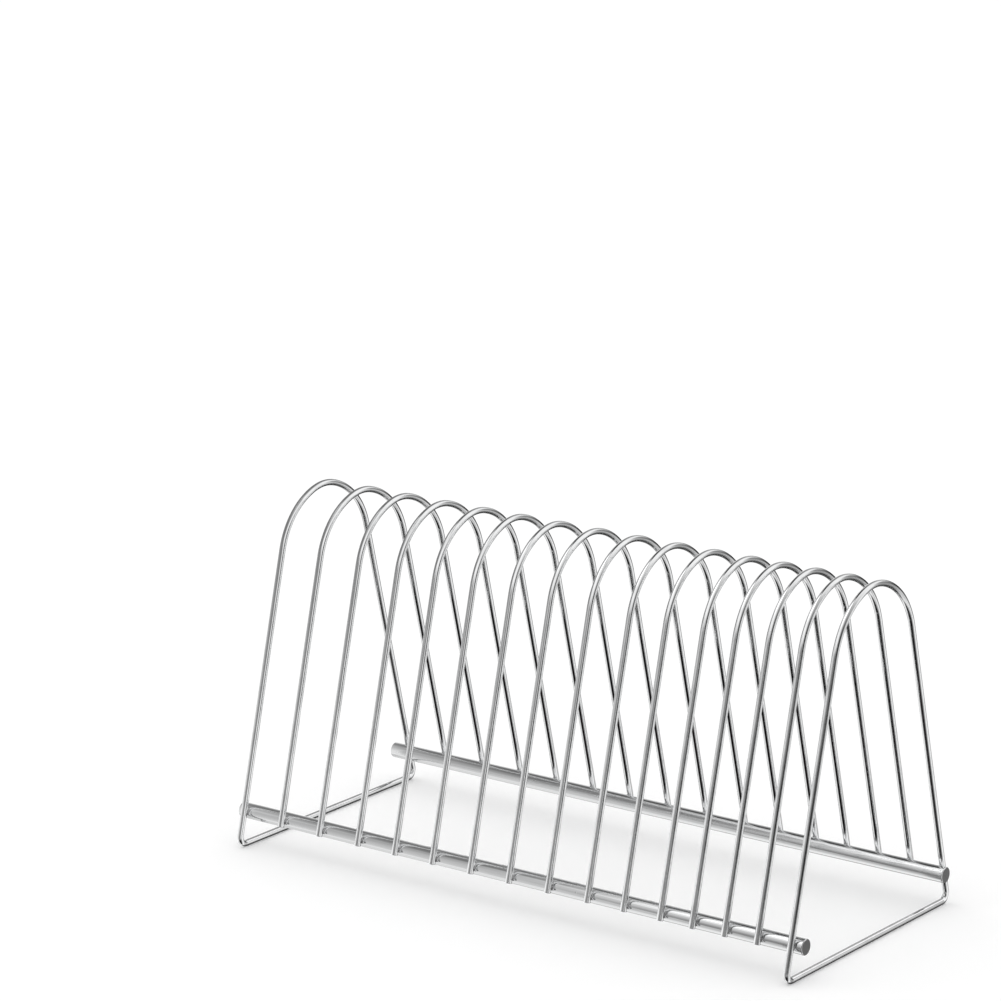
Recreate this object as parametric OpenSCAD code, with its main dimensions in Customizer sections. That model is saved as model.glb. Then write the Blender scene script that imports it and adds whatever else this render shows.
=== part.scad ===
// Chrome-plated wire stand that holds records on edge.
//
// Two round rails lie along X. Wire arches stand across them in planes square to the rails, and
// the gap between two neighbouring arches is a slot. Each leg lies against the outer side of its
// rail and is welded there. The dividers end just below the rails. The two end frames run on down
// to the table, turn in and close along it, and carry the stand.
//
// +X runs along the rails, +Y from front to back, +Z up. The origin is at the middle of the
// stand's footprint, on the table.

/* [Stand] */
// Overall height, from the table to the top of the arches
stand_height = 134.8; // [125:0.1:150]

/* [Rails] */
// Diameter of the front and rear rails
rail_d = 6; // [4:0.1:8]
// Distance between the axes of the two rails
rail_spacing = 94; // [86:0.5:104]
// Height of the rail axes above the table
rail_height = 13.2; // [10:0.1:20]
// How far the rails run past the outer side of each end frame
rail_overhang = 2.5; // [1.5:0.1:12]
// Chamfer round the cut ends of the rails
rail_chamfer = 0.3; // [0.1:0.05:1]

/* [Wire] */
// Diameter of the wire that the dividers and end frames are bent from
wire_d = 2.5; // [1.8:0.1:3.4]
// Lean of the legs from upright
leg_lean = 14.5; // [12:0.1:17]
// How far a divider's leg runs on past the middle of its weld
leg_tail = 2.6; // [2:0.1:6]
// Chamfer round the cut ends of the dividers
tail_chamfer = 0.2; // [0.05:0.05:0.5]

/* [Bends] */
// Radius of the crown at the top of an arch, to the middle of the wire
crown_r = 21; // [16:0.5:26]
// Angle that the crown turns through on each side of its top, before the shoulders take over
crown_turn = 15; // [5:1:40]
// Radius of the two foot bends of an end frame, to the middle of the wire
foot_r = 3; // [2.5:0.1:6]

/* [Welds] */
// Depth that a wire is pressed in where it is welded to a rail
weld_depth = 0.15; // [0.05:0.01:0.3]
// How far a weld collar spreads over the rail, past the side of the wire
weld_spread = 0.55; // [0.3:0.05:0.9]
// How far the top of a weld collar stands out past the side of the wire
weld_lip = 0.1; // [0.05:0.01:0.2]
// Height of a weld collar over the rail
weld_rise = 0.7; // [0.4:0.05:0.85]

/* [Slots] */
// Number of widest slots, which start at the left end
widest_slots = 3; // [1:1:5]
// Pitch of the widest slots, between the middles of two wires
widest_pitch = 18.7; // [14:0.1:24]
// Number of wide slots
wide_slots = 6; // [1:1:8]
// Pitch of the wide slots
wide_pitch = 17.7; // [13:0.1:23]
// Number of middling slots
middling_slots = 2; // [1:1:5]
// Pitch of the middling slots
middling_pitch = 16; // [11:0.1:21]
// Number of narrow slots, which end at the right end
narrow_slots = 4; // [1:1:6]
// Pitch of the narrow slots
narrow_pitch = 13.8; // [9:0.1:19]

/* [Hidden] */
$fn = 96;
// Length by which two stretches of one straight wire run into each other
lap = 2;
// Room that a cutting shape keeps beyond the piece that it cuts
cut_room = 1;

rail_r = rail_d / 2;
wire_r = wire_d / 2;

// Pitch of every slot, from left to right
slot_pitches = concat(
    [for (slot = [1 : widest_slots]) widest_pitch],
    [for (slot = [1 : wide_slots]) wide_pitch],
    [for (slot = [1 : middling_slots]) middling_pitch],
    [for (slot = [1 : narrow_slots]) narrow_pitch]
);
last_wire = len(slot_pitches);
divider_count = last_wire - 1;

// Width of the first few slots together
function run(slots) = slots == 0 ? 0 : run(slots - 1) + slot_pitches[slots - 1];

// X of a wire, counted from 0 at the left end frame
function wire_x(wire) = run(wire) - run(last_wire) / 2;

rail_length = run(last_wire) + wire_d + 2 * rail_overhang;

// What follows lies in the plane of an arch, as [across, up] to the middle of the wire, on the
// side where across is positive.
function along(angle) = [cos(angle), sin(angle)];

rail_centre = [rail_spacing / 2, rail_height];
outward = along(leg_lean);
downward = along(leg_lean - 90);
weld_point = rail_centre + (rail_r + wire_r - weld_depth) * outward;
divider_end = weld_point + leg_tail * downward;

// The crown turns up to this angle above level on each side, and a shoulder takes over. The
// shoulder has the one radius at which it runs smoothly into both the crown and the leg.
shoulder_top = 90 - crown_turn;
crown_centre = [0, stand_height - wire_r - crown_r];
toward_joint = along(shoulder_top);
shoulder_r = ((weld_point - crown_centre) * outward - crown_r * (toward_joint * outward))
    / (1 - toward_joint * outward);
shoulder_centre = crown_centre - (shoulder_r - crown_r) * toward_joint;
leg_top = shoulder_centre + shoulder_r * outward;

// An end frame's leg turns in along the table on its foot bend.
leg_at_table = weld_point + (weld_point[1] - wire_r) / cos(leg_lean) * downward;
foot_centre = [leg_at_table[0] - foot_r * tan((90 + leg_lean) / 2), wire_r + foot_r];
foot_top = foot_centre + foot_r * outward;

divider_colour = "gainsboro";
end_frame_colour = "silver";
rail_colour = "lightgrey";
weld_colour = "darkgrey";

function divider_name(number) = str("divider_", number < 10 ? "0" : "", number);

// Moves to a point in two steps, to the nearest thousandth and then by the rest, which keeps
// every digit, so that two stretches of one wire meet exactly.
module place(point) {
    near = [for (coordinate = point) round(coordinate * 1000) / 1000];
    translate(near) translate(point - near) children();
}

// Turns by an angle in two steps, to a near direction of round millionths and then by the rest.
module turn(angle) {
    near = atan2(round(sin(angle) * 1e6), round(cos(angle) * 1e6));
    rotate([0, 0, near]) rotate([0, 0, angle - near]) children();
}

// Stands a drawing made in an arch's plane upright across the rails.
module upright(x) {
    translate([x, 0, 0]) rotate([90, 0, 90]) children();
}

// Both halves of an arch, from the half where across is positive.
module both_sides() {
    children();
    mirror([1, 0, 0]) children();
}

// Straight round bar that starts at a point of an arch's plane and runs in one direction there.
module bar(point, angle, length, start_r = wire_r, end_r = wire_r) {
    place(point) turn(angle) rotate([0, 90, 0]) cylinder(h = length, r1 = start_r, r2 = end_r);
}

// Wire bent round a centre in an arch's plane, between two angles above level.
module bend(centre, radius, from_angle, to_angle) {
    place(centre)
        rotate_extrude(start = from_angle, angle = to_angle - from_angle)
            place([radius, 0]) circle(r = wire_r);
}

// Crown, shoulders and legs, down to a length below the legs' tops.
module arch(leg_length) {
    bend(crown_centre, crown_r, shoulder_top, 180 - shoulder_top);
    both_sides() {
        bend(shoulder_centre, shoulder_r, leg_lean, shoulder_top);
        bar(leg_top, leg_lean - 90, leg_length);
    }
}

// What the rails fill where a wire is pressed on to them.
module rail_seats() {
    both_sides() place(rail_centre) cylinder(h = 2 * wire_d, r = rail_r, center = true);
}

// Round bar with its cut ends chamfered. side is -1 at the front and 1 at the back.
module rail(side) {
    translate([-rail_length / 2, side * rail_centre[0], rail_centre[1]])
        rotate([90, 0, 90])
            rotate_extrude() polygon([
                [0, 0],
                [rail_r - rail_chamfer, 0],
                [rail_r, rail_chamfer],
                [rail_r, rail_length - rail_chamfer],
                [rail_r - rail_chamfer, rail_length],
                [0, rail_length]
            ]);
}

// Lowest stretch of a divider's leg, cut square with its edge broken.
module tail() {
    bar(divider_end, leg_lean + 90, tail_chamfer, wire_r - tail_chamfer, wire_r);
    bar(divider_end - tail_chamfer * downward, leg_lean + 90, lap);
}

// Inverted U of wire whose legs stop just below the rails.
module divider(number) {
    color(divider_colour) upright(wire_x(number)) difference() {
        union() {
            arch(norm(divider_end - leg_top) - lap);
            both_sides() tail();
        }
        rail_seats();
    }
}

// Closed loop of wire whose legs run down to the table and join along it.
module end_frame(number) {
    color(end_frame_colour) upright(wire_x(number)) difference() {
        union() {
            arch(norm(weld_point - leg_top));
            both_sides() {
                bar(foot_top, leg_lean + 90, norm(weld_point - foot_top) + lap);
                bend(foot_centre, foot_r, -90, leg_lean);
                bar([foot_centre[0], wire_r], 180, foot_centre[0] + lap);
            }
        }
        rail_seats();
    }
}

// Collar of weld metal in the corner between one leg and its rail, in an arch's plane.
module weld() {
    collar_r = wire_r + weld_spread;
    // The collar starts inside the rail, and what lies inside the rail is then cut away.
    root = sqrt(rail_r * rail_r - collar_r * collar_r) - cut_room;
    difference() {
        union() {
            bar(rail_centre + root * outward, leg_lean, rail_r - root, collar_r, collar_r);
            bar(rail_centre + rail_r * outward, leg_lean, weld_rise, collar_r, wire_r + weld_lip);
        }
        place(rail_centre) cylinder(h = 2 * (collar_r + cut_room), r = rail_r, center = true);
        bar(weld_point - (collar_r + cut_room) * downward, leg_lean - 90, 2 * (collar_r + cut_room));
    }
}

// The welds of all the wires on one rail. side is -1 at the front and 1 at the back.
module welds(side) {
    color(weld_colour)
        for (wire = [0 : last_wire])
            upright(wire_x(wire)) mirror([side < 0 ? 1 : 0, 0, 0]) weld();
}

module front_rail() color(rail_colour) rail(-1);
module rear_rail() color(rail_colour) rail(1);
module end_frame_left() end_frame(0);
module end_frame_right() end_frame(last_wire);
module front_welds() welds(-1);
module rear_welds() welds(1);

front_rail();
rear_rail();
end_frame_left();
end_frame_right();
for (number = [1 : divider_count])
    divider(number);
front_welds();
rear_welds();
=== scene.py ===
"""Looks of a chrome-plated wire stand, whose slots hold thin flat things on edge.

Two round rails lie along X, and wire arches stand across them, welded to the outer side of each
rail. The dividers end just below the rails, and the two end frames run on down to the table and
close along it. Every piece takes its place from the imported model, and the arches follow the same
rule as there: a crown, two shoulders that run smoothly into it, and straight leaning legs.

+X runs along the rails, +Y from front to back, +Z up. Lengths are in metres.
"""

from __future__ import annotations

import logging
import math
from collections.abc import Callable, Mapping, Sequence
from dataclasses import dataclass
from enum import Enum
from itertools import accumulate

import bmesh
import bpy
from mathutils import Matrix, Vector

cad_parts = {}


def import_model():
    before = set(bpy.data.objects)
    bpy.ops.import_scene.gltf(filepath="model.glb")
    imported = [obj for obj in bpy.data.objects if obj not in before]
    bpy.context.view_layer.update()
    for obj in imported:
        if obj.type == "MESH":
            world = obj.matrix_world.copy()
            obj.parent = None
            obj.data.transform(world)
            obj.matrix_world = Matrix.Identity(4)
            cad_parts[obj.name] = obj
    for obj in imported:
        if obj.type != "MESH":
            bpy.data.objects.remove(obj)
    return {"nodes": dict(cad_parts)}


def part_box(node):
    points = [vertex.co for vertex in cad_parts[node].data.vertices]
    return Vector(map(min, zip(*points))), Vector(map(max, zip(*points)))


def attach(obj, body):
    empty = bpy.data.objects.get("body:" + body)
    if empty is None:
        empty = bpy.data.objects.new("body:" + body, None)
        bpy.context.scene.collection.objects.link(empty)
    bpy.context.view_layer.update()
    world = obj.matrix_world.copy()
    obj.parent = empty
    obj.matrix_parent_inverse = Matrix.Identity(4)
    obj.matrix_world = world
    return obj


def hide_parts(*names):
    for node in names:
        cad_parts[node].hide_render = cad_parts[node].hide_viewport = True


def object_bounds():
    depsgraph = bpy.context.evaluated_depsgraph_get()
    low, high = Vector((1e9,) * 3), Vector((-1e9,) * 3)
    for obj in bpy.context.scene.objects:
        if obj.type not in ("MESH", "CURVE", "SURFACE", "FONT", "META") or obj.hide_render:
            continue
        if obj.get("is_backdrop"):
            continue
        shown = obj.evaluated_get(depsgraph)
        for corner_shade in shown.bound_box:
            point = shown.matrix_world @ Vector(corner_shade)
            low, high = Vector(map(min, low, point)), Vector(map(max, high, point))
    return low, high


LOG = logging.getLogger("stand")

MM = 0.001
BODY = "root"

# Attributes that the geometry trees store on a piece.
STRAIGHT = "straight"
CUT_FACE = "cut_face"
WELD_SHADE = "weld_shade"
# A face lies on a cut end where the mean of its corners' marks is above this.
CUT_LIMIT = 0.99

Colour = tuple[float, float, float, float]
Socket = bpy.types.NodeSocket
NodeTree = bpy.types.NodeTree
NodeOutputs = bpy.types.NodeOutputs


class Slot(Enum):
    """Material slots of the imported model."""

    RAIL = "rail"
    WIRE = "wire"
    WELD = "weld"


class TreeKind(Enum):
    """Kinds of node group."""

    SHADER = "ShaderNodeTree"
    GEOMETRY = "GeometryNodeTree"


class Side(Enum):
    """The side of the stand that a rail is on, as the sign of its Y."""

    FRONT = -1
    REAR = 1


def grey(tone: float) -> Colour:
    """A neutral colour of one linear tone."""
    return (tone, tone, tone, 1.0)


def add_object(name: str, data: bpy.types.ID) -> bpy.types.Object:
    """Adds an object to the scene.

    Args:
        name: Its name.
        data: The mesh, lamp or camera that it shows.

    Returns:
        The object.
    """
    thing = bpy.data.objects.new(name, data)
    bpy.context.scene.collection.objects.link(thing)
    return thing


def close_mesh(shape: bmesh.types.BMesh, name: str) -> bpy.types.Mesh:
    """Ends the work on a shape.

    Args:
        shape: The shape, which is freed.
        name: The name of its mesh.

    Returns:
        The mesh.
    """
    mesh = bpy.data.meshes.new(name)
    shape.to_mesh(mesh)
    shape.free()
    return mesh


# --- Node trees ---


@dataclass
class TreeWriter:
    """Adds nodes to one node tree, with their settings and what goes into them."""

    tree: NodeTree

    def put(self, target: Socket, value: object) -> None:
        """Fills an input.

        Args:
            target: The input.
            value: Another node's output to link from, or a plain value.
        """
        if isinstance(value, Socket):
            self.tree.links.new(value, target)
        else:
            target.default_value = value

    def add(
        self,
        kind: str,
        inputs: Mapping[str | int, object] | None = None,
        **settings: object,
    ) -> bpy.types.Node:
        """Adds one node.

        Args:
            kind: Blender's name for the kind of node.
            inputs: What goes into each input.
            **settings: The node's own properties.

        Returns:
            The new node.
        """
        node = self.tree.nodes.new(kind)
        for name, value in settings.items():
            setattr(node, name, value)
        for name, value in (inputs or {}).items():
            self.put(node.inputs[name], value)
        return node

    def math(self, operation: str, *values: Socket | float) -> Socket:
        """Adds a math node on one to three values and returns its result."""
        node = self.add("ShaderNodeMath", dict(enumerate(values)), operation=operation)
        return node.outputs[0]

    def ease(self, value: Socket, start: float, end: float) -> Socket:
        """Eases from 0 to 1 while a value goes from start to end, which may lie below start."""
        inputs = {"Value": value, "From Min": start, "From Max": end}
        return self.add("ShaderNodeMapRange", inputs, interpolation_type="SMOOTHSTEP").outputs["Result"]

    def mix_colour(self, factor: Socket, first: Colour, second: Colour) -> Socket:
        """Mixes two colours.

        Args:
            factor: The share of the second colour.
            first: The first colour.
            second: The second colour.

        Returns:
            The mixed colour.
        """
        node = self.add("ShaderNodeMix", data_type="RGBA")
        values = {"Factor_Float": factor, "A_Color": first, "B_Color": second}
        for socket in node.inputs:
            if socket.identifier in values:
                self.put(socket, values[socket.identifier])
        return next(socket for socket in node.outputs if socket.identifier == "Result_Color")

    def bump(
        self, height: Socket, depth: float, under: Socket | None = None, sunk: bool = False
    ) -> Socket:
        """Raises or sinks the surface by a map.

        Args:
            height: The map.
            depth: How deep a step of 1 in it is.
            under: The normal that it is laid on, where that isn't the surface's own.
            sunk: Whether the map sinks the surface.

        Returns:
            The new normal.
        """
        inputs = {"Distance": depth, "Height": height}
        if under is not None:
            inputs["Normal"] = under
        return self.add("ShaderNodeBump", inputs, invert=sunk).outputs[0]

    def place_group(self, group: NodeTree, **values: object) -> NodeOutputs:
        """Places a shader node group with its own values and returns its outputs."""
        return self.add("ShaderNodeGroup", values, node_tree=group).outputs

    def read(self, name: str, kind: str = "FLOAT") -> Socket:
        """Reads an attribute of the geometry."""
        node = self.add("GeometryNodeInputNamedAttribute", {"Name": name}, data_type=kind)
        return node.outputs["Attribute"]

    def store(self, geometry: Socket, name: str, value: Socket, kind: str, domain: str) -> Socket:
        """Stores an attribute.

        Args:
            geometry: What it is stored on.
            name: Its name.
            value: Its value.
            kind: Blender's name for its kind.
            domain: Blender's name for the part of the geometry that holds it.

        Returns:
            The geometry with it.
        """
        inputs = {"Geometry": geometry, "Name": name, "Value": value}
        node = self.add("GeometryNodeStoreNamedAttribute", inputs, data_type=kind, domain=domain)
        return node.outputs["Geometry"]

    def dress(self, geometry: Socket, finish: Socket, chosen: Socket | bool = True) -> Socket:
        """Sets the finish of the chosen faces and returns the geometry."""
        inputs = {"Geometry": geometry, "Selection": chosen, "Material": finish}
        return self.add("GeometryNodeSetMaterial", inputs).outputs[0]


def new_tree(
    name: str, kind: TreeKind, inputs: Mapping[str, str], outputs: Mapping[str, str]
) -> tuple[TreeWriter, NodeOutputs, bpy.types.NodeInputs]:
    """Starts a node group with named sockets.

    Args:
        name: The group's name.
        kind: The kind of group.
        inputs: For each input, its kind of socket.
        outputs: For each output, its kind of socket.

    Returns:
        A writer for the group, what comes into it and what goes out of it.
    """
    tree = bpy.data.node_groups.new(name, kind.value)
    for in_out, sockets in (("INPUT", inputs), ("OUTPUT", outputs)):
        for socket_name, socket_kind in sockets.items():
            tree.interface.new_socket(socket_name, in_out=in_out, socket_type=socket_kind)
    writer = TreeWriter(tree)
    return writer, writer.add("NodeGroupInput").outputs, writer.add("NodeGroupOutput").inputs


def new_effect(
    name: str, values: Sequence[str], results: Sequence[str]
) -> tuple[TreeWriter, NodeOutputs, bpy.types.NodeInputs]:
    """Starts a shader node group that reads a place on the surface and the named values."""
    inputs = {"Place": "NodeSocketVector", **dict.fromkeys(values, "NodeSocketFloat")}
    return new_tree(name, TreeKind.SHADER, inputs, dict.fromkeys(results, "NodeSocketFloat"))


@dataclass(frozen=True)
class SurfaceEffects:
    """Shader node groups that the finishes share."""

    drawn_lines: NodeTree
    clouds: NodeTree
    pits: NodeTree
    rail_nearness: NodeTree

    @classmethod
    def build(cls, sizes: StandSizes) -> SurfaceEffects:
        """Builds every group once."""
        return cls(cls._drawn_lines(), cls._clouds(), cls._pits(), cls._rail_nearness(sizes))

    @staticmethod
    def _drawn_lines() -> NodeTree:
        """Lines that a drawing die leaves along a bar.

        Returns:
            The group, which puts out a height from 0 to 1.
        """
        tree, given, result = new_effect("drawn_lines", ["Width", "Length"], ["Height"])
        sizes = {"X": given["Width"], "Y": given["Width"], "Z": given["Length"]}
        cell = tree.add("ShaderNodeCombineXYZ", sizes).outputs[0]
        place = tree.add("ShaderNodeVectorMath", {0: given["Place"], 1: cell}, operation="DIVIDE")
        noise = tree.add(
            "ShaderNodeTexNoise",
            {"Vector": place.outputs[0], "Scale": 1.0, "Detail": 2.0, "Roughness": 0.55},
        )
        tree.put(result["Height"], noise.outputs["Fac"])
        return tree.tree

    @staticmethod
    def _clouds() -> NodeTree:
        """Soft patches of thinner polish.

        Returns:
            The group, which puts out a mask from 0 to 1 and a slow swell.
        """
        tree, given, result = new_effect("clouds", ["Size"], ["Mask", "Swell"])
        base = {"Vector": given["Place"], "Scale": tree.math("DIVIDE", 1.0, given["Size"])}
        patches = tree.add("ShaderNodeTexNoise", {**base, "Detail": 4.0, "Roughness": 0.6})
        swell = tree.add("ShaderNodeTexNoise", {**base, "Detail": 1.0})
        tree.put(result["Mask"], tree.ease(patches.outputs["Fac"], start=0.42, end=0.68))
        tree.put(result["Swell"], swell.outputs["Fac"])
        return tree.tree

    @staticmethod
    def _pits() -> NodeTree:
        """Sparse pin pricks in the plating.

        Returns:
            The group, which puts out a mask that is 1 in the middle of each.
        """
        tree, given, result = new_effect("pits", ["Spacing", "Share"], ["Mask"])
        scale = tree.math("DIVIDE", 1.0, given["Spacing"])
        cells = tree.add("ShaderNodeTexVoronoi", {"Vector": given["Place"], "Scale": scale})
        spot = tree.ease(cells.outputs["Distance"], start=0.22, end=0.08)
        draw = tree.add("ShaderNodeSeparateXYZ", {"Vector": cells.outputs["Color"]})
        kept = tree.math("LESS_THAN", draw.outputs["X"], given["Share"])
        tree.put(result["Mask"], tree.math("MULTIPLY", spot, kept))
        return tree.tree

    @staticmethod
    def _rail_nearness(sizes: StandSizes) -> NodeTree:
        """How near a point is to the skin of a rail.

        Args:
            sizes: The stand's sizes.

        Returns:
            The group, which puts out a mask that is 1 on the skin and 0 past a reach.
        """
        tree, given, result = new_effect("rail_nearness", ["Reach"], ["Mask"])
        place = tree.add("ShaderNodeSeparateXYZ", {"Vector": given["Place"]}).outputs
        across = tree.math("SUBTRACT", tree.math("ABSOLUTE", place["Y"]), sizes.rail_offset)
        up = tree.math("SUBTRACT", place["Z"], sizes.rail_height)
        squares = [tree.math("MULTIPLY", way, way) for way in (across, up)]
        from_middle = tree.math("SQRT", tree.math("ADD", *squares))
        gap = tree.math("SUBTRACT", from_middle, sizes.rail_radius)
        share = tree.math("DIVIDE", gap, given["Reach"])
        tree.put(result["Mask"], tree.ease(share, start=1.0, end=0.0))
        return tree.tree


# --- Finishes ---


def new_material(name: str) -> tuple[TreeWriter, bpy.types.Material, Socket]:
    """Starts a material.

    Args:
        name: The material's name.

    Returns:
        A writer for its nodes, the material and the input that its shader goes into.
    """
    material = bpy.data.materials.new(name)
    material.use_nodes = True
    material.node_tree.nodes.clear()
    writer = TreeWriter(material.node_tree)
    return writer, material, writer.add("ShaderNodeOutputMaterial").inputs["Surface"]


@dataclass(frozen=True)
class Finish:
    """Metal finish, darker in places from duller plating and from painted shade near rails."""

    name: str
    colour: Colour
    dark_colour: Colour

    def surface(self, tree: TreeWriter, effects: SurfaceEffects) -> tuple[Socket, Socket, Socket]:
        """How far each place on the surface is darkened, from 0 to 1, its roughness and its normal."""
        raise NotImplementedError

    def build(self, effects: SurfaceEffects) -> bpy.types.Material:
        """Builds the material.

        Args:
            effects: The shared effects.

        Returns:
            The material.
        """
        tree, material, target = new_material(self.name)
        # The dark share holds duller plating and, on wires and welds, painted shade near the rails.
        dark_share, roughness, normal = self.surface(tree, effects)
        shader = tree.add(
            "ShaderNodeBsdfPrincipled",
            {
                "Base Color": tree.mix_colour(dark_share, self.colour, self.dark_colour),
                "Metallic": 1.0,
                "Roughness": roughness,
                "Normal": normal,
            },
        )
        tree.put(target, shader.outputs[0])
        return material


@dataclass(frozen=True)
class BrightPlating(Finish):
    """Bright chrome over drawn steel, with drawn lines, soft clouds, pits and painted shade near rails.
    """

    polish: float
    haze: float
    corner_haze: float
    corner_reach: float
    line_width: float
    line_length: float
    line_depth: float
    cloud_size: float
    swell_depth: float
    pit_spacing: float
    pit_share: float
    pit_depth: float
    cloud_dullness: float = 0.4

    def surface(self, tree: TreeWriter, effects: SurfaceEffects) -> tuple[Socket, Socket, Socket]:
        """Drawn lines, soft clouds, pits, and painted shade close to the rails, where it is also
        rougher.

        Args:
            tree: The writer of the material's nodes.
            effects: The shared effects.

        Returns:
            How far each place is darkened, from 0 to 1, its roughness and its normal.
        """
        straight = tree.add("ShaderNodeAttribute", attribute_name=STRAIGHT).outputs["Vector"]
        place = tree.add("ShaderNodeTexCoord").outputs["Object"]
        lines = tree.place_group(
            effects.drawn_lines, Place=straight, Width=self.line_width, Length=self.line_length
        )["Height"]
        clouds = tree.place_group(effects.clouds, Place=place, Size=self.cloud_size)
        pits = tree.place_group(
            effects.pits, Place=place, Spacing=self.pit_spacing, Share=self.pit_share
        )["Mask"]
        # Painted shade: the surface darkens towards its dark colour as it nears a rail's skin.
        corner_shade = tree.place_group(effects.rail_nearness, Place=place, Reach=self.corner_reach)["Mask"]

        # The darkest of dull clouds, painted shade near the rails and pits sets the dark share.
        dark_share = tree.math("MULTIPLY", clouds["Mask"], self.cloud_dullness)
        dark_share = tree.math("MAXIMUM", dark_share, corner_shade)
        dark_share = tree.math("MAXIMUM", dark_share, pits)
        roughness = tree.math("MULTIPLY_ADD", clouds["Mask"], self.haze, self.polish)
        roughness = tree.math("MULTIPLY_ADD", corner_shade, self.corner_haze, roughness)
        roughness = tree.math("MULTIPLY_ADD", lines, self.haze, roughness)
        normal = tree.bump(lines, self.line_depth)
        normal = tree.bump(clouds["Swell"], self.swell_depth, under=normal)
        normal = tree.bump(pits, self.pit_depth, under=normal, sunk=True)
        return dark_share, roughness, normal


@dataclass(frozen=True)
class WeldPlating(Finish):
    """Chrome over a weld collar, darkened by painted shade near the rail, and a little lumpy."""

    polish: float
    haze: float
    lump_size: float
    lump_depth: float
    pit_spacing: float
    pit_share: float
    mask_share: float = 0.5

    def surface(self, tree: TreeWriter, effects: SurfaceEffects) -> tuple[Socket, Socket, Socket]:
        """Lumps and pits, and painted shade close to the rail.

        Args:
            tree: The writer of the material's nodes.
            effects: The shared effects.

        Returns:
            How far each place is darkened, from 0 to 1, its roughness and its normal.
        """
        place = tree.add("ShaderNodeTexCoord").outputs["Object"]
        shade = tree.add("ShaderNodeAttribute", attribute_name=WELD_SHADE).outputs["Fac"]
        clouds = tree.place_group(effects.clouds, Place=place, Size=self.lump_size)
        pits = tree.place_group(
            effects.pits, Place=place, Spacing=self.pit_spacing, Share=self.pit_share
        )["Mask"]
        # Painted shade: the collar darkens towards the rail's skin, in the corner between wire and
        # rail.
        corner_shade = tree.place_group(effects.rail_nearness, Place=place, Reach=self.lump_size)["Mask"]

        # The dark share is the mean of duller lumps and painted shade, or a pit, times each weld's
        # shade.
        dark_share = tree.math("ADD", clouds["Mask"], corner_shade)
        dark_share = tree.math("MULTIPLY", dark_share, self.mask_share)
        dark_share = tree.math("MULTIPLY", tree.math("MAXIMUM", dark_share, pits), shade)
        roughness = tree.math("MULTIPLY_ADD", dark_share, self.haze, self.polish)
        return dark_share, roughness, tree.bump(clouds["Swell"], self.lump_depth)


@dataclass(frozen=True)
class CutFace(Finish):
    """End of a bar as the shears leave it, under a thin dull plating."""

    roughness: float
    mark_spacing: float
    mark_depth: float
    grain_size: float
    mask_share: float = 0.5
    mark_haze: float = 0.1

    def surface(self, tree: TreeWriter, effects: SurfaceEffects) -> tuple[Socket, Socket, Socket]:
        """Marks of the shears and a fine grain.

        Args:
            tree: The writer of the material's nodes.
            effects: The shared effects.

        Returns:
            How dull each place is, from 0 to 1, its roughness and its normal.
        """
        place = tree.add("ShaderNodeTexCoord").outputs["Object"]
        bands = {"Vector": place, "Scale": 1.0 / self.mark_spacing}
        wobble = {"Distortion": 2.5, "Detail": 2.0, "Detail Scale": 1.5}
        marks = tree.add("ShaderNodeTexWave", {**bands, **wobble}, bands_direction="Z").outputs["Fac"]
        grain = tree.place_group(effects.clouds, Place=place, Size=self.grain_size)["Mask"]
        height = tree.math("ADD", marks, grain)
        dark_share = tree.math("MULTIPLY", height, self.mask_share)
        roughness = tree.math("MULTIPLY_ADD", dark_share, self.mark_haze, self.roughness)
        return dark_share, roughness, tree.bump(height, self.mark_depth)


# Its dark colour shows in dull clouds and pits, and as painted shade where a wire nears a rail.
WIRE_FINISH = BrightPlating(
    name="bright_wire",
    colour=(0.90, 0.905, 0.91, 1.0),
    dark_colour=(0.68, 0.685, 0.69, 1.0),
    polish=0.05,
    haze=0.06,
    corner_haze=0.12,
    corner_reach=1.2 * MM,
    line_width=0.16 * MM,
    line_length=9.0 * MM,
    line_depth=0.0015 * MM,
    cloud_size=7.0 * MM,
    swell_depth=0.02 * MM,
    pit_spacing=1.6 * MM,
    pit_share=0.08,
    pit_depth=0.01 * MM,
)
# On a rail's own skin the painted-shade mask is 1 all over, so the rail takes its dark colour evenly.
RAIL_FINISH = BrightPlating(
    name="bright_rail",
    colour=(0.95, 0.955, 0.96, 1.0),
    dark_colour=(0.80, 0.805, 0.81, 1.0),
    polish=0.045,
    haze=0.05,
    corner_haze=0.0,
    corner_reach=1.0 * MM,
    line_width=0.3 * MM,
    line_length=24.0 * MM,
    line_depth=0.0025 * MM,
    cloud_size=12.0 * MM,
    swell_depth=0.04 * MM,
    pit_spacing=2.4 * MM,
    pit_share=0.08,
    pit_depth=0.012 * MM,
)
# Its dark colour stands for duller weld metal and for painted shade in the corner of wire and rail.
WELD_FINISH = WeldPlating(
    name="plated_weld",
    colour=(0.88, 0.88, 0.89, 1.0),
    dark_colour=(0.33, 0.327, 0.323, 1.0),
    polish=0.06,
    haze=0.12,
    lump_size=0.7 * MM,
    lump_depth=0.06 * MM,
    pit_spacing=0.5 * MM,
    pit_share=0.15,
)
RAIL_END_FINISH = CutFace(
    name="cut_rail_end",
    colour=grey(0.27),
    dark_colour=grey(0.17),
    roughness=0.42,
    mark_spacing=1.3 * MM,
    mark_depth=0.02 * MM,
    grain_size=0.5 * MM,
)
WIRE_END_FINISH = CutFace(
    name="cut_wire_end",
    colour=grey(0.30),
    dark_colour=grey(0.18),
    roughness=0.40,
    mark_spacing=0.7 * MM,
    mark_depth=0.012 * MM,
    grain_size=0.35 * MM,
)
FINISHES = (WIRE_FINISH, RAIL_FINISH, WELD_FINISH, RAIL_END_FINISH, WIRE_END_FINISH)


# --- Sizes and outlines ---


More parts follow.
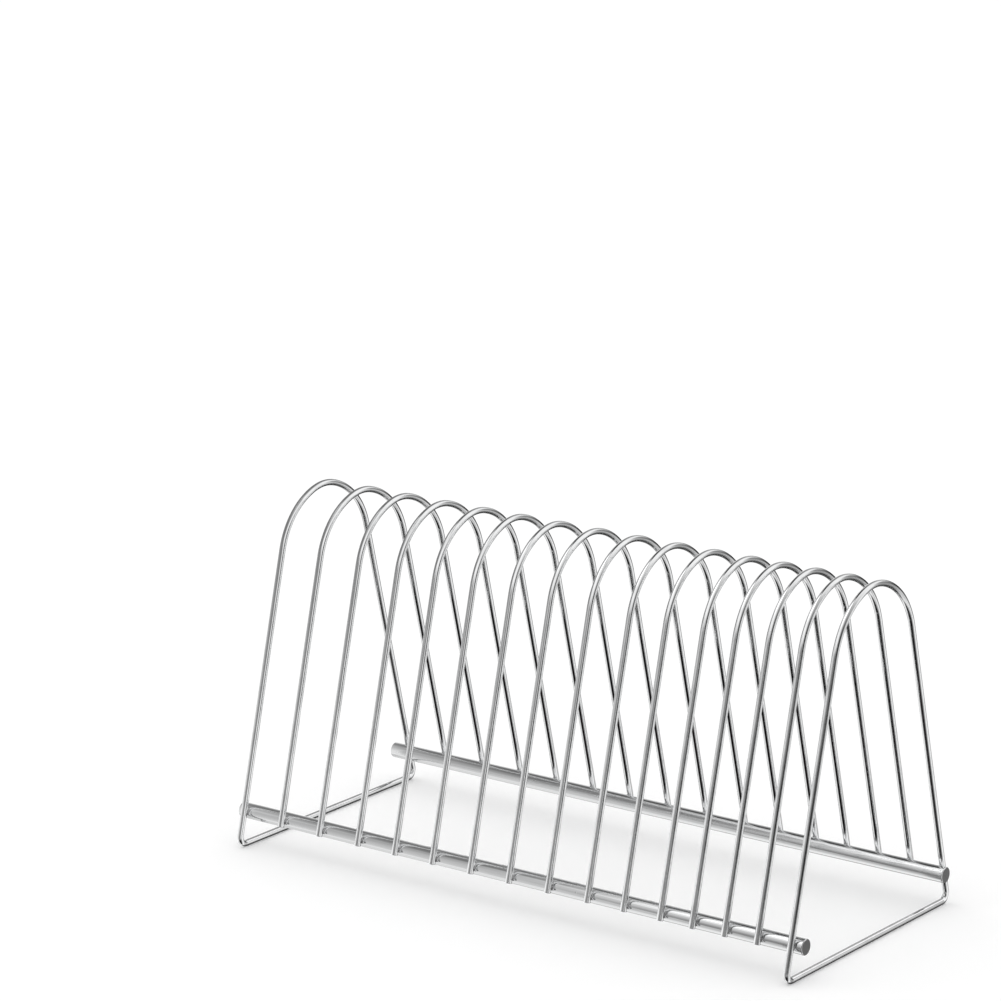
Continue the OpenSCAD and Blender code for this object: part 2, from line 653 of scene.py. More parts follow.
@dataclass(frozen=True)
class StandSizes:
    """Sizes of the stand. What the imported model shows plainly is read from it."""

    wire_radius: float
    rail_radius: float
    rail_length: float
    rail_offset: float
    rail_height: float
    stand_height: float
    divider_places: tuple[float, ...]
    frame_places: tuple[float, float]
    leg_lean: float = math.radians(14.5)
    leg_tail: float = 2.6 * MM
    crown_radius: float = 21.0 * MM
    crown_turn: float = math.radians(15.0)
    foot_radius: float = 3.0 * MM
    weld_depth: float = 0.15 * MM
    rail_rounding: float = 0.3 * MM
    wire_rounding: float = 0.2 * MM

    @classmethod
    def from_frame(cls, nodes: Mapping[str, bpy.types.Object]) -> StandSizes:
        """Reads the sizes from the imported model.

        Args:
            nodes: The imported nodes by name.

        Returns:
            The sizes.
        """
        dividers = sorted(name for name in nodes if name.startswith("divider_"))
        rail_low, rail_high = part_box("rear_rail")
        low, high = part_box(dividers[0])
        return cls(
            wire_radius=(high.x - low.x) / 2,
            rail_radius=(rail_high.y - rail_low.y) / 2,
            rail_length=rail_high.x - rail_low.x,
            rail_offset=(rail_high.y + rail_low.y) / 2,
            rail_height=(rail_high.z + rail_low.z) / 2,
            stand_height=high.z,
            divider_places=tuple(middle_x(name) for name in dividers),
            frame_places=(middle_x("end_frame_left"), middle_x("end_frame_right")),
        )

    @property
    def weld_reach(self) -> float:
        """From a rail's middle to the middle of a wire on it."""
        return self.rail_radius + self.wire_radius - self.weld_depth


def middle_x(node: str) -> float:
    """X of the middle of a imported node."""
    low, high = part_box(node)
    return (low.x + high.x) / 2


def along(angle: float) -> Vector:
    """Direction in an arch's plane, as (across, up), at an angle above level."""
    return Vector((math.cos(angle), math.sin(angle)))


def arc(centre: Vector, radius: float, start: float, end: float, step: float) -> list[Vector]:
    """Points along an arc, from start to end, at most one step of turning apart."""
    count = max(1, math.ceil(abs(end - start) / step))
    return [centre + radius * along(start + (end - start) * i / count) for i in range(count + 1)]


def rounded_edge(radius: float, rounding: float, steps: int = 4) -> list[tuple[float, float]]:
    """The rounded edge of a bar's cut end.

    Args:
        radius: The bar's radius.
        rounding: The radius of its edge.
        steps: How many steps the edge takes.

    Returns:
        How far from the cut face, and how thick as a share of the bar, from the face inwards.
    """
    angles = [math.pi / 2 * i / steps for i in range(steps + 1)]
    return [
        (rounding * (1 - math.cos(a)), 1 - rounding * (1 - math.sin(a)) / radius) for a in angles
    ]


@dataclass(frozen=True)
class ArchOutline:
    """Middle line of the wire in an arch's plane, on the side where across is positive."""

    sizes: StandSizes
    bend_step: float = math.radians(3.0)
    foot_step: float = math.radians(5.0)

    @property
    def outward(self) -> Vector:
        """From a rail's middle to the weld."""
        return along(self.sizes.leg_lean)

    @property
    def downward(self) -> Vector:
        """The way that a leg runs down."""
        return along(self.sizes.leg_lean - math.pi / 2)

    @property
    def weld_point(self) -> Vector:
        """Where a leg passes its rail."""
        rail_middle = Vector((self.sizes.rail_offset, self.sizes.rail_height))
        return rail_middle + self.sizes.weld_reach * self.outward

    def half_arch(self) -> list[Vector]:
        """Crown and shoulder. The shoulder's radius is the one that meets both crown and leg.

        Returns:
            The points from the arch's top to the leg's top.
        """
        sizes = self.sizes
        crown_centre = Vector((0.0, sizes.stand_height - sizes.wire_radius - sizes.crown_radius))
        joint_angle = math.pi / 2 - sizes.crown_turn
        joint = along(joint_angle)
        reach = (self.weld_point - crown_centre).dot(self.outward)
        lean = joint.dot(self.outward)
        shoulder_radius = (reach - sizes.crown_radius * lean) / (1 - lean)
        shoulder_centre = crown_centre - (shoulder_radius - sizes.crown_radius) * joint
        step = self.bend_step
        crown = arc(crown_centre, sizes.crown_radius, math.pi / 2, joint_angle, step)
        shoulder = arc(shoulder_centre, shoulder_radius, joint_angle, sizes.leg_lean, step)
        return crown + shoulder[1:]

    def foot(self) -> list[Vector]:
        """Foot bend of an end frame.

        Returns:
            The points from the leg down to the table.
        """
        sizes = self.sizes
        weld_point = self.weld_point
        drop = (weld_point.y - sizes.wire_radius) / math.cos(sizes.leg_lean)
        at_table = weld_point + drop * self.downward
        setback = sizes.foot_radius * math.tan((math.pi / 2 + sizes.leg_lean) / 2)
        centre = Vector((at_table.x - setback, sizes.wire_radius + sizes.foot_radius))
        return arc(centre, sizes.foot_radius, sizes.leg_lean, -math.pi / 2, self.foot_step)


@dataclass
class BarPath:
    """Middle line of a round bar, with how thick it is along the way."""

    points: list[Vector]
    thickness: list[float]
    closed: bool = False

    def runs(self) -> list[float]:
        """How far along the bar each point lies, counted from its middle."""
        steps = [(b - a).length for a, b in zip(self.points, self.points[1:])]
        return list(accumulate(steps, initial=-sum(steps) / 2))

    def to_object(self, name: str, shift: float) -> bpy.types.Object:
        """Makes a wire mesh of the path that a geometry tree can sweep a section along.

        Args:
            name: The new object's name.
            shift: Added to how far along each point lies, so that no two bars are marked alike.

        Returns:
            The object, with what the tree reads stored at its points.
        """
        count = len(self.points)
        edges = [(i, i + 1) for i in range(count - 1)]
        cut = [0.0] * count
        if self.closed:
            edges.append((count - 1, 0))
        else:
            cut[0] = cut[-1] = 1.0
        mesh = bpy.data.meshes.new(name)
        mesh.from_pydata(self.points, edges, [])
        runs = [run + shift for run in self.runs()]
        for column, values in (("thickness", self.thickness), ("run", runs), ("cut", cut)):
            mesh.attributes.new(column, "FLOAT", "POINT").data.foreach_set("value", values)
        return add_object(name, mesh)


# --- Geometry trees ---


@dataclass(frozen=True)
class GeometryRecipe:
    """A geometry node tree, and how to run it on an object."""

    tree: NodeTree

    def apply(self, target: bpy.types.Object, values: Mapping[str, object]) -> None:
        """Runs the tree on an object and leaves the result as a plain mesh.

        Args:
            target: The object that the tree starts from.
            values: What goes into each of the tree's named inputs.
        """
        modifier = target.modifiers.new(self.tree.name, "NODES")
        modifier.node_group = self.tree
        for socket in self.tree.interface.items_tree:
            if socket.in_out == "INPUT" and socket.name in values:
                modifier[socket.identifier] = values[socket.name]
        graph = bpy.context.evaluated_depsgraph_get()
        evaluated = target.evaluated_get(graph)
        mesh = bpy.data.meshes.new_from_object(
            evaluated, preserve_all_data_layers=True, depsgraph=graph
        )
        target.modifiers.clear()
        old = target.data
        target.data = mesh
        bpy.data.meshes.remove(old)
        mesh.name = target.name


def bar_recipe() -> GeometryRecipe:
    """Tree that sweeps a round section along a path, with its own finish on the cut ends.

    Returns:
        The recipe. Its input object holds the thickness, the run and the cut of each point.
    """
    inputs = {
        "Path": "NodeSocketGeometry",
        "Radius": "NodeSocketFloat",
        "Sides": "NodeSocketInt",
        "Finish": "NodeSocketMaterial",
        "End Finish": "NodeSocketMaterial",
    }
    outputs = {"Bar": "NodeSocketGeometry"}
    tree, given, result = new_tree("round_bar", TreeKind.GEOMETRY, inputs, outputs)

    # The section, whose points keep their place in it, is swept along the path.
    circle = tree.add(
        "GeometryNodeCurvePrimitiveCircle",
        {"Resolution": given["Sides"], "Radius": given["Radius"]},
        mode="RADIUS",
    ).outputs["Curve"]
    position = tree.add("GeometryNodeInputPosition").outputs[0]
    swept = {
        "Curve": tree.add("GeometryNodeMeshToCurve", {"Mesh": given["Path"]}).outputs["Curve"],
        "Profile Curve": tree.store(circle, "rim", position, "FLOAT_VECTOR", "POINT"),
        "Scale": tree.read("thickness"),
        "Fill Caps": True,
    }
    bar = tree.add("GeometryNodeCurveToMesh", swept).outputs["Mesh"]

    # Each point keeps its place on the bar as if that were straight, and the cut faces are marked.
    rim = tree.add("ShaderNodeSeparateXYZ", {"Vector": tree.read("rim", "FLOAT_VECTOR")}).outputs
    unbent = tree.add("ShaderNodeCombineXYZ", {"X": rim["X"], "Y": rim["Y"], "Z": tree.read("run")})
    bar = tree.store(bar, STRAIGHT, unbent.outputs[0], "FLOAT_VECTOR", "POINT")
    is_cut = tree.add(
        "FunctionNodeCompare",
        {0: tree.read("cut"), 1: CUT_LIMIT},
        data_type="FLOAT",
        operation="GREATER_THAN",
    ).outputs["Result"]
    bar = tree.store(bar, CUT_FACE, is_cut, "BOOLEAN", "FACE")
    cut_face = tree.read(CUT_FACE, "BOOLEAN")
    for faces, smooth in ((True, True), (cut_face, False)):
        shading = {"Geometry": bar, "Selection": faces, "Shade Smooth": smooth}
        bar = tree.add("GeometryNodeSetShadeSmooth", shading, domain="FACE").outputs[0]

    bar = tree.add("GeometryNodeRealizeInstances", {"Geometry": bar}).outputs[0]
    bar = tree.dress(bar, given["Finish"])
    bar = tree.dress(bar, given["End Finish"], cut_face)
    tree.put(result["Bar"], bar)
    return GeometryRecipe(tree.tree)


def row_recipe() -> GeometryRecipe:
    """Tree that places a copy of one piece at each point of a row, each with its own shade.

    Returns:
        The recipe. Its input object holds the points of the row.
    """
    inputs = {
        "Row": "NodeSocketGeometry",
        "Piece": "NodeSocketObject",
        "Lightest": "NodeSocketFloat",
        "Darkest": "NodeSocketFloat",
        "Seed": "NodeSocketInt",
        "Finish": "NodeSocketMaterial",
    }
    outputs = {"Pieces": "NodeSocketGeometry"}
    tree, given, result = new_tree("row_of_pieces", TreeKind.GEOMETRY, inputs, outputs)
    piece = tree.add("GeometryNodeObjectInfo", {"Object": given["Piece"], "As Instance": True})
    copies = tree.add(
        "GeometryNodeInstanceOnPoints",
        {"Points": given["Row"], "Instance": piece.outputs["Geometry"]},
    ).outputs[0]
    # Inputs 2 and 3 are the ends of the range, and output 1 is the draw, where these are floats.
    shade = tree.add(
        "FunctionNodeRandomValue",
        {2: given["Lightest"], 3: given["Darkest"], "Seed": given["Seed"]},
        data_type="FLOAT",
    ).outputs[1]
    copies = tree.store(copies, WELD_SHADE, shade, "FLOAT", "INSTANCE")
    whole = tree.add("GeometryNodeRealizeInstances", {"Geometry": copies}).outputs[0]
    tree.put(result["Pieces"], tree.dress(whole, given["Finish"]))
    return GeometryRecipe(tree.tree)


# --- Pieces ---


@dataclass(frozen=True)
class Workshop:
    """What every piece is made with."""

    sizes: StandSizes
    outline: ArchOutline
    bar: GeometryRecipe
    row: GeometryRecipe
    finishes: Mapping[str, bpy.types.Material]

    def sweep(
        self, piece: bpy.types.Object, radius: float, sides: int, finish: Finish, end_finish: Finish
    ) -> None:
        """Makes a round bar of a path, with its finishes.

        Args:
            piece: The object that holds the path.
            radius: The bar's radius.
            sides: How many sides its section has.
            finish: The finish of its skin.
            end_finish: The finish of its cut ends.
        """
        values = {
            "Radius": radius,
            "Sides": sides,
            "Finish": self.finishes[finish.name],
            "End Finish": self.finishes[end_finish.name],
        }
        self.bar.apply(piece, values)


def hand_over(piece: bpy.types.Object, node: str) -> None:
    """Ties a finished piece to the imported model.

    Args:
        piece: The finished piece.
        node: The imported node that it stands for.
    """
    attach(piece, BODY)
    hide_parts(node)
    LOG.info("%s: %d faces, for %s", piece.name, len(piece.data.polygons), node)


@dataclass(frozen=True)
class Rail:
    """Round bar along the front or the back."""

    side: Side
    sides: int = 96
    stations: int = 32
    line_shift: float = 0.4

    def path(self, sizes: StandSizes) -> BarPath:
        """The rail's middle line.

        Args:
            sizes: The stand's sizes.

        Returns:
            The line, with the edges of both ends rounded.
        """
        edge = rounded_edge(sizes.rail_radius, sizes.rail_rounding)
        half = sizes.rail_length / 2
        inner = half - sizes.rail_rounding
        left = [(-half + inset, share) for inset, share in edge]
        middle = [(inner * (2 * i / self.stations - 1), 1.0) for i in range(1, self.stations)]
        right = [(-x, share) for x, share in reversed(left)]
        places = left + middle + right
        y = self.side.value * sizes.rail_offset
        points = [Vector((x, y, sizes.rail_height)) for x, _ in places]
        return BarPath(points, [share for _, share in places])

    def build(self, shop: Workshop) -> None:
        """Makes the rail, dresses it and hands it over.

        Args:
            shop: What the piece is made with.
        """
        name = f"{self.side.name.lower()}_rail"
        piece = self.path(shop.sizes).to_object(f"{name}_bar", self.side.value * self.line_shift)
        shop.sweep(piece, shop.sizes.rail_radius, self.sides, RAIL_FINISH, RAIL_END_FINISH)
        hand_over(piece, name)


@dataclass(frozen=True)
class Arch:
    """Bent wire that stands across the rails. The wires are numbered from the left."""

    node: str
    x: float
    number: int
    sides: int = 40
    line_shift: float = 0.37

    def half_path(self, shop: Workshop) -> tuple[list[Vector], list[float]]:
        """Rear half of the middle line, from the arch's top, with the thickness at each point."""
        raise NotImplementedError

    def path(self, shop: Workshop) -> BarPath:
        """The whole middle line.

        Args:
            shop: What the piece is made with.

        Returns:
            The line, from the front end to the rear end.
        """
        points, thickness = self.half_path(shop)
        rear = [Vector((self.x, point.x, point.y)) for point in points]
        front = [Vector((self.x, -point.x, point.y)) for point in points[:0:-1]]
        return BarPath(front + rear, thickness[:0:-1] + thickness)

    def build(self, shop: Workshop) -> None:
        """Makes the wire, dresses it and hands it over.

        Args:
            shop: What the piece is made with.
        """
        piece = self.path(shop).to_object(f"{self.node}_wire", self.number * self.line_shift)
        shop.sweep(piece, shop.sizes.wire_radius, self.sides, WIRE_FINISH, WIRE_END_FINISH)
        hand_over(piece, self.node)


@dataclass(frozen=True)
class Divider(Arch):
    """Inverted U whose legs are cut off just below the rails."""

    def half_path(self, shop: Workshop) -> tuple[list[Vector], list[float]]:
        """Crown, shoulder and leg, with the edge of the cut rounded.

        Args:
            shop: What the piece is made with.

        Returns:
            The points from the arch's top to the wire's end, and the thickness at each.
        """
        sizes, outline = shop.sizes, shop.outline
        points = outline.half_arch()
        thickness = [1.0] * len(points)
        end = outline.weld_point + sizes.leg_tail * outline.downward
        for inset, share in reversed(rounded_edge(sizes.wire_radius, sizes.wire_rounding)):
            points.append(end - inset * outline.downward)
            thickness.append(share)
        return points, thickness


@dataclass(frozen=True)
class EndFrame(Arch):
    """Closed loop whose legs run down to the table and join along it.

    Both halves of its path end half the join gap from the middle, and the last edge closes it.
    """

    join_gap: float = 0.1 * MM

    def half_path(self, shop: Workshop) -> tuple[list[Vector], list[float]]:
        """Crown, shoulder, leg, foot bend and half of the base.

        Args:
            shop: What the piece is made with.

        Returns:
            The points from the arch's top to the middle of the base, and the thickness at each.
        """
        points = shop.outline.half_arch() + shop.outline.foot()
        points.append(Vector((self.join_gap / 2, shop.sizes.wire_radius)))
        return points, [1.0] * len(points)

    def path(self, shop: Workshop) -> BarPath:
        """The whole loop, which closes in the middle of its base."""
        loop = super().path(shop)
        return BarPath(loop.points, loop.thickness, closed=True)


@dataclass(frozen=True)
class WeldCollar:
    """Fillet of weld metal in the corner between one leg and its rail.

    It is worked out in the leg's own directions: along the rail, down the leg, and outward from
    the rail's middle. The skins of the rail and the wire melt into each other over the spread.
    Each wave of unevenness has its share, its count round the weld and its start.
    """

    rail_radius: float
    wire_radius: float
    wire_reach: float
    spread: float = 0.5 * MM
    unevenness: float = 0.1
    waves: tuple[tuple[float, int, float], ...] = ((0.6, 2, 0.7), (0.4, 3, 2.1))
    columns: int = 48
    rows: int = 9
    sink: float = 0.12 * MM
    core_sink: float = 0.36 * MM
    search_radii: float = 4.0
    search_steps: int = 40
    settle_steps: int = 12
    probe: float = 0.001 * MM

    def rail_gap(self, point: Vector) -> float:
        """How far a point is from the rail's skin."""
        return math.hypot(point.y, point.z) - self.rail_radius

    def wire_gap(self, point: Vector) -> float:
        """How far a point is from the wire's skin."""
        return math.hypot(point.x, point.z - self.wire_reach) - self.wire_radius

    def spread_at(self, angle: float) -> float:
        """How far the fillet spreads at one angle round the weld."""
        wave = sum(share * math.sin(count * angle + start) for share, count, start in self.waves)
        return self.spread * (1 + self.unevenness * wave)

    def blend(self, point: Vector, spread: float) -> float:
        """Signed distance to the two skins melted into each other.

        Args:
            point: A point near them.
            spread: How far they melt into each other.

        Returns:
            The distance, below 0 inside.
        """
        rail, wire = self.rail_gap(point), self.wire_gap(point)
        overlap = max(spread - abs(rail - wire), 0.0) / spread
        return min(rail, wire) - overlap * overlap * spread / 4

    def on_rail(self, angle: float, distance: float) -> Vector:
        """Goes over the rail's skin from the middle of the weld.

        Args:
            angle: The way that it goes.
            distance: How far.

        Returns:
            The point that it comes to.
        """
        turn = distance * math.sin(angle) / self.rail_radius
        skin = self.rail_radius * Vector((0, math.sin(turn), math.cos(turn)))
        return skin + Vector((distance * math.cos(angle), 0, 0))

    def on_wire(self, angle: float, distance: float) -> Vector:
        """Goes over the wire's skin from the middle of the weld.

        Args:
            angle: The way that it goes.
            distance: How far.

        Returns:
            The point that it comes to.
        """
        turn = distance * math.cos(angle) / self.wire_radius
        skin = self.wire_radius * Vector((math.sin(turn), 0, -math.cos(turn)))
        return skin + Vector((0, distance * math.sin(angle), self.wire_reach))

    def reach(self, gap_at: Callable[[float], float], spread: float) -> float:
        """Where a gap that grows with the distance comes to the spread.

        Args:
            gap_at: The gap at a distance.
            spread: How far the fillet spreads.

        Returns:
            The distance.
        """
        near, far = 0.0, self.search_radii * self.wire_radius
        for _ in range(self.search_steps):
            middle = (near + far) / 2
            if gap_at(middle) < spread:
                near = middle
            else:
                far = middle
        return near

    def settle(self, point: Vector, spread: float) -> Vector:
        """Moves a point on to the melted skin.

        Args:
            point: A point near it.
            spread: How far the two skins melt into each other.

        Returns:
            The point on the skin.
        """
        for _ in range(self.settle_steps):
            height = self.blend(point, spread)
            steps = self.probe * Matrix.Identity(3)
            slope = Vector([self.blend(point + step, spread) - height for step in steps]) / self.probe
            point = point - slope * height / slope.length_squared
        return point

    def column(self, angle: float) -> list[Vector]:
        """Points over the fillet at one angle round the weld.

        Args:
            angle: The angle.

        Returns:
            The points, from inside the rail to inside the wire.
        """
        spread = self.spread_at(angle)
        rail_end = self.reach(lambda far: self.wire_gap(self.on_rail(angle, far)), spread)
        wire_end = self.reach(lambda far: self.rail_gap(self.on_wire(angle, far)), spread)
        foot, head = self.on_rail(angle, rail_end), self.on_wire(angle, wire_end)
        shares = [i / (self.rows - 1) for i in range(self.rows)]
        skin = [self.settle(foot.lerp(head, share), spread) for share in shares]
        rail_middle = Vector((foot.x, 0, 0))
        wire_middle = Vector((0, head.y, self.wire_reach))
        inside_rail = foot + (rail_middle - foot).normalized() * self.sink
        inside_wire = head + (wire_middle - head).normalized() * self.sink
        return [inside_rail, *skin, inside_wire]

    def mesh(self, name: str, to_stand: Callable[[Vector], Vector]) -> bpy.types.Mesh:
        """Builds the closed fillet.

        Args:
            name: The mesh's name.
            to_stand: Takes a point from the leg's directions to the stand's.

        Returns:
            The mesh, with its faces outward.
        """
        shape = bmesh.new()
        columns = [
            [shape.verts.new(to_stand(point)) for point in self.column(math.tau * i / self.columns)]
            for i in range(self.columns)
        ]
        bottom = shape.verts.new(to_stand(Vector((0, 0, self.rail_radius - self.core_sink))))
        top = shape.verts.new(to_stand(Vector((0, 0, self.wire_reach))))
        for first, second in zip(columns, columns[1:] + columns[:1]):
            shape.faces.new((bottom, second[0], first[0]))
            shape.faces.new((top, first[-1], second[-1]))
            for low in range(len(first) - 1):
                shape.faces.new((first[low], second[low], second[low + 1], first[low + 1]))
        bmesh.ops.recalc_face_normals(shape, faces=shape.faces)
        for face in shape.faces:
            face.smooth = True
        return close_mesh(shape, name)


@dataclass(frozen=True)
class WeldRow:
    """All the weld collars on one rail."""

    side: Side
    lightest: float = 0.55
    darkest: float = 1.0
    seed: int = 7

    def to_stand(self, outline: ArchOutline, point: Vector) -> Vector:
        """Takes a point from a leg's own directions to the stand's.

        Args:
            outline: The outline that the leg follows.
            point: The point, as along the rail, down the leg and outward.

        Returns:
            The point from the middle of this side's rail.
        """
        out_y, out_z = outline.outward
        down_y, down_z = outline.downward
        across = point.y * down_y + point.z * out_y
        up = point.y * down_z + point.z * out_z
        return Vector((point.x, self.side.value * across, up))

    def build(self, shop: Workshop) -> None:
        """Makes the collars, dresses them and hands them over.

        Args:
            shop: What the piece is made with.
        """
        sizes = shop.sizes
        collar = WeldCollar(sizes.rail_radius, sizes.wire_radius, sizes.weld_reach)
        collar_mesh = collar.mesh("collar_pattern", lambda point: self.to_stand(shop.outline, point))
        pattern = add_object("collar_pattern", collar_mesh)

        name = f"{self.side.name.lower()}_welds"
        places = sorted((*sizes.divider_places, *sizes.frame_places))
        y = self.side.value * sizes.rail_offset
        row = bpy.data.meshes.new(f"{name}_collars")
        row.from_pydata([(x, y, sizes.rail_height) for x in places], [], [])
        piece = add_object(f"{name}_collars", row)
        shop.row.apply(
            piece,
            {
                "Piece": pattern,
                "Lightest": self.lightest,
                "Darkest": self.darkest,
                "Seed": self.seed + self.side.value,
                "Finish": shop.finishes[WELD_FINISH.name],
            },
        )
        bpy.data.objects.remove(pattern)
        bpy.data.meshes.remove(collar_mesh)
        hand_over(piece, name)


# --- Studio ---


@dataclass(frozen=True)
class Card:
    """Card hung round the stand, which only shows as a reflection in the plating.

    Angles are in degrees as seen from the stand, and come in pairs: how far round from the front
    to the right, and how far up. The card fades out over the fade at each edge of its span.
    """

    name: str
    toward: tuple[float, float]
    span: tuple[float, float]
    fade: tuple[float, float]
    tone: float
    distance: float
    steps: int = 16

    def direction(self, across: float, up: float) -> Vector:
        """Direction to a place on the card.

        Args:
            across: The place across the card, from 0 to 1.
            up: The place up the card, from 0 to 1.

        Returns:
            The direction from the stand.
        """
        azimuth = math.radians(self.toward[0] + (across - 0.5) * self.span[0])
        elevation = math.radians(self.toward[1] + (up - 0.5) * self.span[1])
        flat = math.cos(elevation)
        return Vector((math.sin(azimuth) * flat, -math.cos(azimuth) * flat, math.sin(elevation)))

    def build(self, centre: Vector) -> bpy.types.Object:
        """Hangs the card.

        Args:
            centre: The stand's centre.

        Returns:
            The card.
        """
        shape = bmesh.new()
        uv = shape.loops.layers.uv.new("UVMap")
        shares = [i / self.steps for i in range(self.steps + 1)]
        grid = [
            [shape.verts.new(centre + self.distance * self.direction(u, v)) for u in shares]
            for v in shares
        ]
        for row in range(self.steps):
            for column in range(self.steps):
                corners = [(row, column), (row, column + 1), (row + 1, column + 1), (row + 1, column)]
                face = shape.faces.new([grid[v][u] for v, u in corners])
                for loop, (v, u) in zip(face.loops, corners):
                    loop[uv].uv = (shares[u], shares[v])
        mesh = close_mesh(shape, self.name)
        mesh.materials.append(self.paint())
        card = add_object(self.name, mesh)
        for ray in ("camera", "diffuse", "shadow", "transmission"):
            setattr(card, f"visible_{ray}", False)
        return card

    def paint(self) -> bpy.types.Material:
        """One plain tone that fades out towards the card's edges.

        Returns:
            The material.
        """
        tree, material, target = new_material(f"{self.name}_paint")
        uv = tree.add("ShaderNodeUVMap", uv_map="UVMap").outputs[0]
        place = tree.add("ShaderNodeSeparateXYZ", {"Vector": uv}).outputs
        fades = [
            tree.ease(tree.math("PINGPONG", place[axis], 0.5), start=0.0, end=fade / span)
            for axis, fade, span in zip("XY", self.fade, self.span)
        ]
        cover = tree.math("MULTIPLY", *fades)
        clear = tree.add("ShaderNodeBsdfTransparent").outputs[0]
        tone = {"Color": grey(1.0), "Strength": self.tone}
        painted = tree.add("ShaderNodeEmission", tone).outputs[0]
        mix = tree.add("ShaderNodeMixShader", {0: cover, 1: clear, 2: painted})
        tree.put(target, mix.outputs[0])
        return material


# A nearer card covers the ones behind it.
CARDS = (
    # Close by on the left, for greyer left ends of the rails and grey flanks on the wires.
    Card("left_near_card", toward=(-75, 30), span=(120, 120), fade=(30, 60), tone=0.2, distance=0.2),
    # Close by on the right, for the dark stripe down the front legs, which fades to the left.
    Card("right_near_card", toward=(60, -5), span=(45, 60), fade=(20, 30), tone=0.0, distance=0.25),
    Card("right_card", toward=(75, 15), span=(90, 120), fade=(45, 60), tone=0.0, distance=0.3),
    # Behind, for dark patches on the tops of the rails, the crowns and the base runs.
    Card("left_back_card", toward=(-130, 65), span=(120, 140), fade=(60, 60), tone=0.0, distance=2.5),
    Card("right_back_card", toward=(150, -10), span=(30, 60), fade=(15, 5), tone=0.25, distance=2.8),
    # In front on the right, for a grey flank on the front legs and shoulders.
    Card("right_front_card", toward=(15, 0), span=(60, 65), fade=(15, 25), tone=0.25, distance=3.0),
    # High behind, for the tops of the base runs and the crowns.
    Card("back_high_card", toward=(-165, 60), span=(45, 90), fade=(5, 5), tone=0.5, distance=4.0),
    # In front, for the dark line along the middle of the rails and the grey band beside it.
    Card("front_card", toward=(-15, -15), span=(40, 90), fade=(5, 60), tone=0.1, distance=5.0),
    Card("front_side_card", toward=(-30, 0), span=(30, 75), fade=(5, 15), tone=0.65, distance=5.1),
    # Low down, for the undersides of the rails, the crowns and the base runs.
    Card("left_low_card", toward=(-90, -45), span=(75, 30), fade=(30, 15), tone=0.6, distance=5.2),
    Card("back_low_card", toward=(180, -60), span=(150, 75), fade=(60, 5), tone=0.0, distance=5.3),
    # Behind, for thin dark lines on the shoulders and crowns.
    Card("back_card", toward=(175, 0), span=(70, 60), fade=(15, 30), tone=0.0, distance=5.4),
    # Low in front, for the dark sides of the rear legs and shoulders.
    Card("front_low_card", toward=(25, -60), span=(180, 120), fade=(60, 45), tone=0.0, distance=5.5),
)


@dataclass(frozen=True)
class PhotoCamera:
    """Camera at the place from which the stand was photographed."""

    location: tuple[float, float, float] = (0.87577, -1.21648, 0.52521)
    azimuth: float = math.radians(36.962)
    elevation: float = math.radians(14.223)
    roll: float = math.radians(-0.211)
    lens: float = 151.201
    sensor: float = 36.0
    nearest: float = 0.05
    farthest: float = 50.0

    def build(self) -> None:
        """Adds the camera and makes it the scene's own."""
        level = math.cos(self.elevation)
        back = Vector((
            math.sin(self.azimuth) * level,
            -math.cos(self.azimuth) * level,
            math.sin(self.elevation),
        ))
        right = Matrix.Rotation(self.roll, 3, back) @ Vector((0, 0, 1)).cross(back).normalized()
        up = back.cross(right)
        data = bpy.data.cameras.new("camera")
        data.lens = self.lens
        data.sensor_width = self.sensor
        data.clip_start, data.clip_end = self.nearest, self.farthest
        camera = add_object("camera", data)
        rotation = Matrix((right, up, back)).transposed().to_4x4()
        camera.matrix_world = Matrix.Translation(self.location) @ rotation
        bpy.context.scene.camera = camera


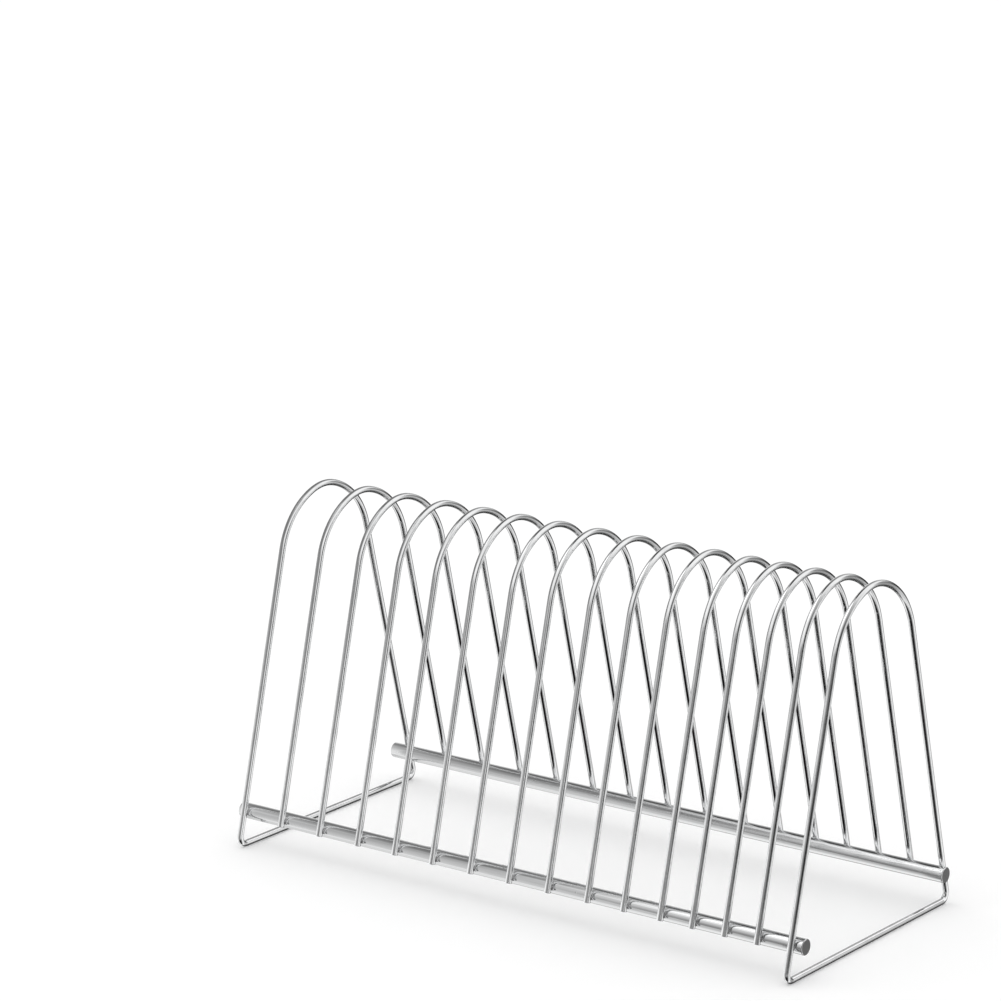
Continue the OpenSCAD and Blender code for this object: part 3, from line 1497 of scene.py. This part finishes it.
@dataclass(frozen=True)
class Studio:
    """Plain pale floor, white surround, one large soft lamp and the cards."""

    floor_radius: float = 8.0
    floor_sides: int = 96
    floor_colour: Colour = grey(0.97)
    floor_roughness: float = 0.9
    floor_lift: float = 0.05
    surround: float = 0.98
    lamp_place: tuple[float, float, float] = (-0.7, -0.5, 1.9)
    lamp_size: float = 1.3
    lamp_power: float = 3.0
    cards: Sequence[Card] = CARDS

    def build(self, centre: Vector) -> None:
        """Sets everything up.

        Args:
            centre: The stand's centre.
        """
        self.build_world()
        self.build_floor()
        self.build_lamp(centre)
        for card in self.cards:
            card.build(centre)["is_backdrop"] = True
        PhotoCamera().build()
        bpy.context.scene.view_settings.view_transform = "Standard"

    def build_world(self) -> None:
        """White where it is seen or mirrored, and a plain level of light elsewhere."""
        world = bpy.data.worlds.new("surround")
        bpy.context.scene.world = world
        world.use_nodes = True
        world.node_tree.nodes.clear()
        tree = TreeWriter(world.node_tree)
        ray = tree.add("ShaderNodeLightPath").outputs
        seen = tree.math("MAXIMUM", ray["Is Camera Ray"], ray["Is Glossy Ray"])
        seen = tree.math("MAXIMUM", seen, ray["Is Transmission Ray"])
        strength = tree.math("MULTIPLY_ADD", seen, 1.0 - self.surround, self.surround)
        light = tree.add("ShaderNodeBackground", {"Color": grey(1.0), "Strength": strength})
        output = tree.add("ShaderNodeOutputWorld")
        tree.put(output.inputs["Surface"], light.outputs[0])
        world.cycles.sampling_method = "NONE"

    def build_floor(self) -> None:
        """Round pale floor that takes the stand's shadow."""
        tree, material, target = new_material("floor_paint")
        seen = tree.add("ShaderNodeLightPath").outputs["Is Camera Ray"]
        shader = tree.add(
            "ShaderNodeBsdfPrincipled",
            {
                "Base Color": self.floor_colour,
                "Roughness": self.floor_roughness,
                "Specular IOR Level": 0.0,
                "Emission Color": grey(1.0),
                "Emission Strength": tree.math("MULTIPLY", seen, self.floor_lift),
            },
        )
        tree.put(target, shader.outputs[0])
        shape = bmesh.new()
        bmesh.ops.create_circle(
            shape, cap_ends=True, segments=self.floor_sides, radius=self.floor_radius
        )
        mesh = close_mesh(shape, "floor")
        mesh.materials.append(material)
        floor = add_object("floor", mesh)
        floor.visible_glossy = False
        floor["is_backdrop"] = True

    def build_lamp(self, centre: Vector) -> None:
        """Large soft lamp up and to the left.

        Args:
            centre: The stand's centre, which it is turned towards.
        """
        data = bpy.data.lights.new("soft_lamp", "AREA")
        data.shape = "SQUARE"
        data.size = self.lamp_size
        data.energy = self.lamp_power
        lamp = add_object("soft_lamp", data)
        lamp.location = self.lamp_place
        lamp.rotation_mode = "QUATERNION"
        lamp.rotation_quaternion = (centre - lamp.location).to_track_quat("-Z", "Y")


# --- Assembly ---


def main() -> None:
    """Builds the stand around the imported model, and the studio round it."""
    logging.basicConfig(level=logging.INFO, format="%(name)s: %(message)s")
    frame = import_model()
    cad_low, cad_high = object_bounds()
    sizes = StandSizes.from_frame(frame["nodes"])
    effects = SurfaceEffects.build(sizes)
    finishes = {finish.name: finish.build(effects) for finish in FINISHES}
    shop = Workshop(sizes, ArchOutline(sizes), bar_recipe(), row_recipe(), finishes)

    for side in Side:
        Rail(side).build(shop)
    left_x, right_x = sizes.frame_places
    EndFrame("end_frame_left", left_x, 0).build(shop)
    for number, x in enumerate(sizes.divider_places, start=1):
        Divider(f"divider_{number:02d}", x, number).build(shop)
    EndFrame("end_frame_right", right_x, len(sizes.divider_places) + 1).build(shop)
    for side in Side:
        WeldRow(side).build(shop)

    Studio().build((cad_low + cad_high) / 2)


if __name__ == "__main__":
    main()
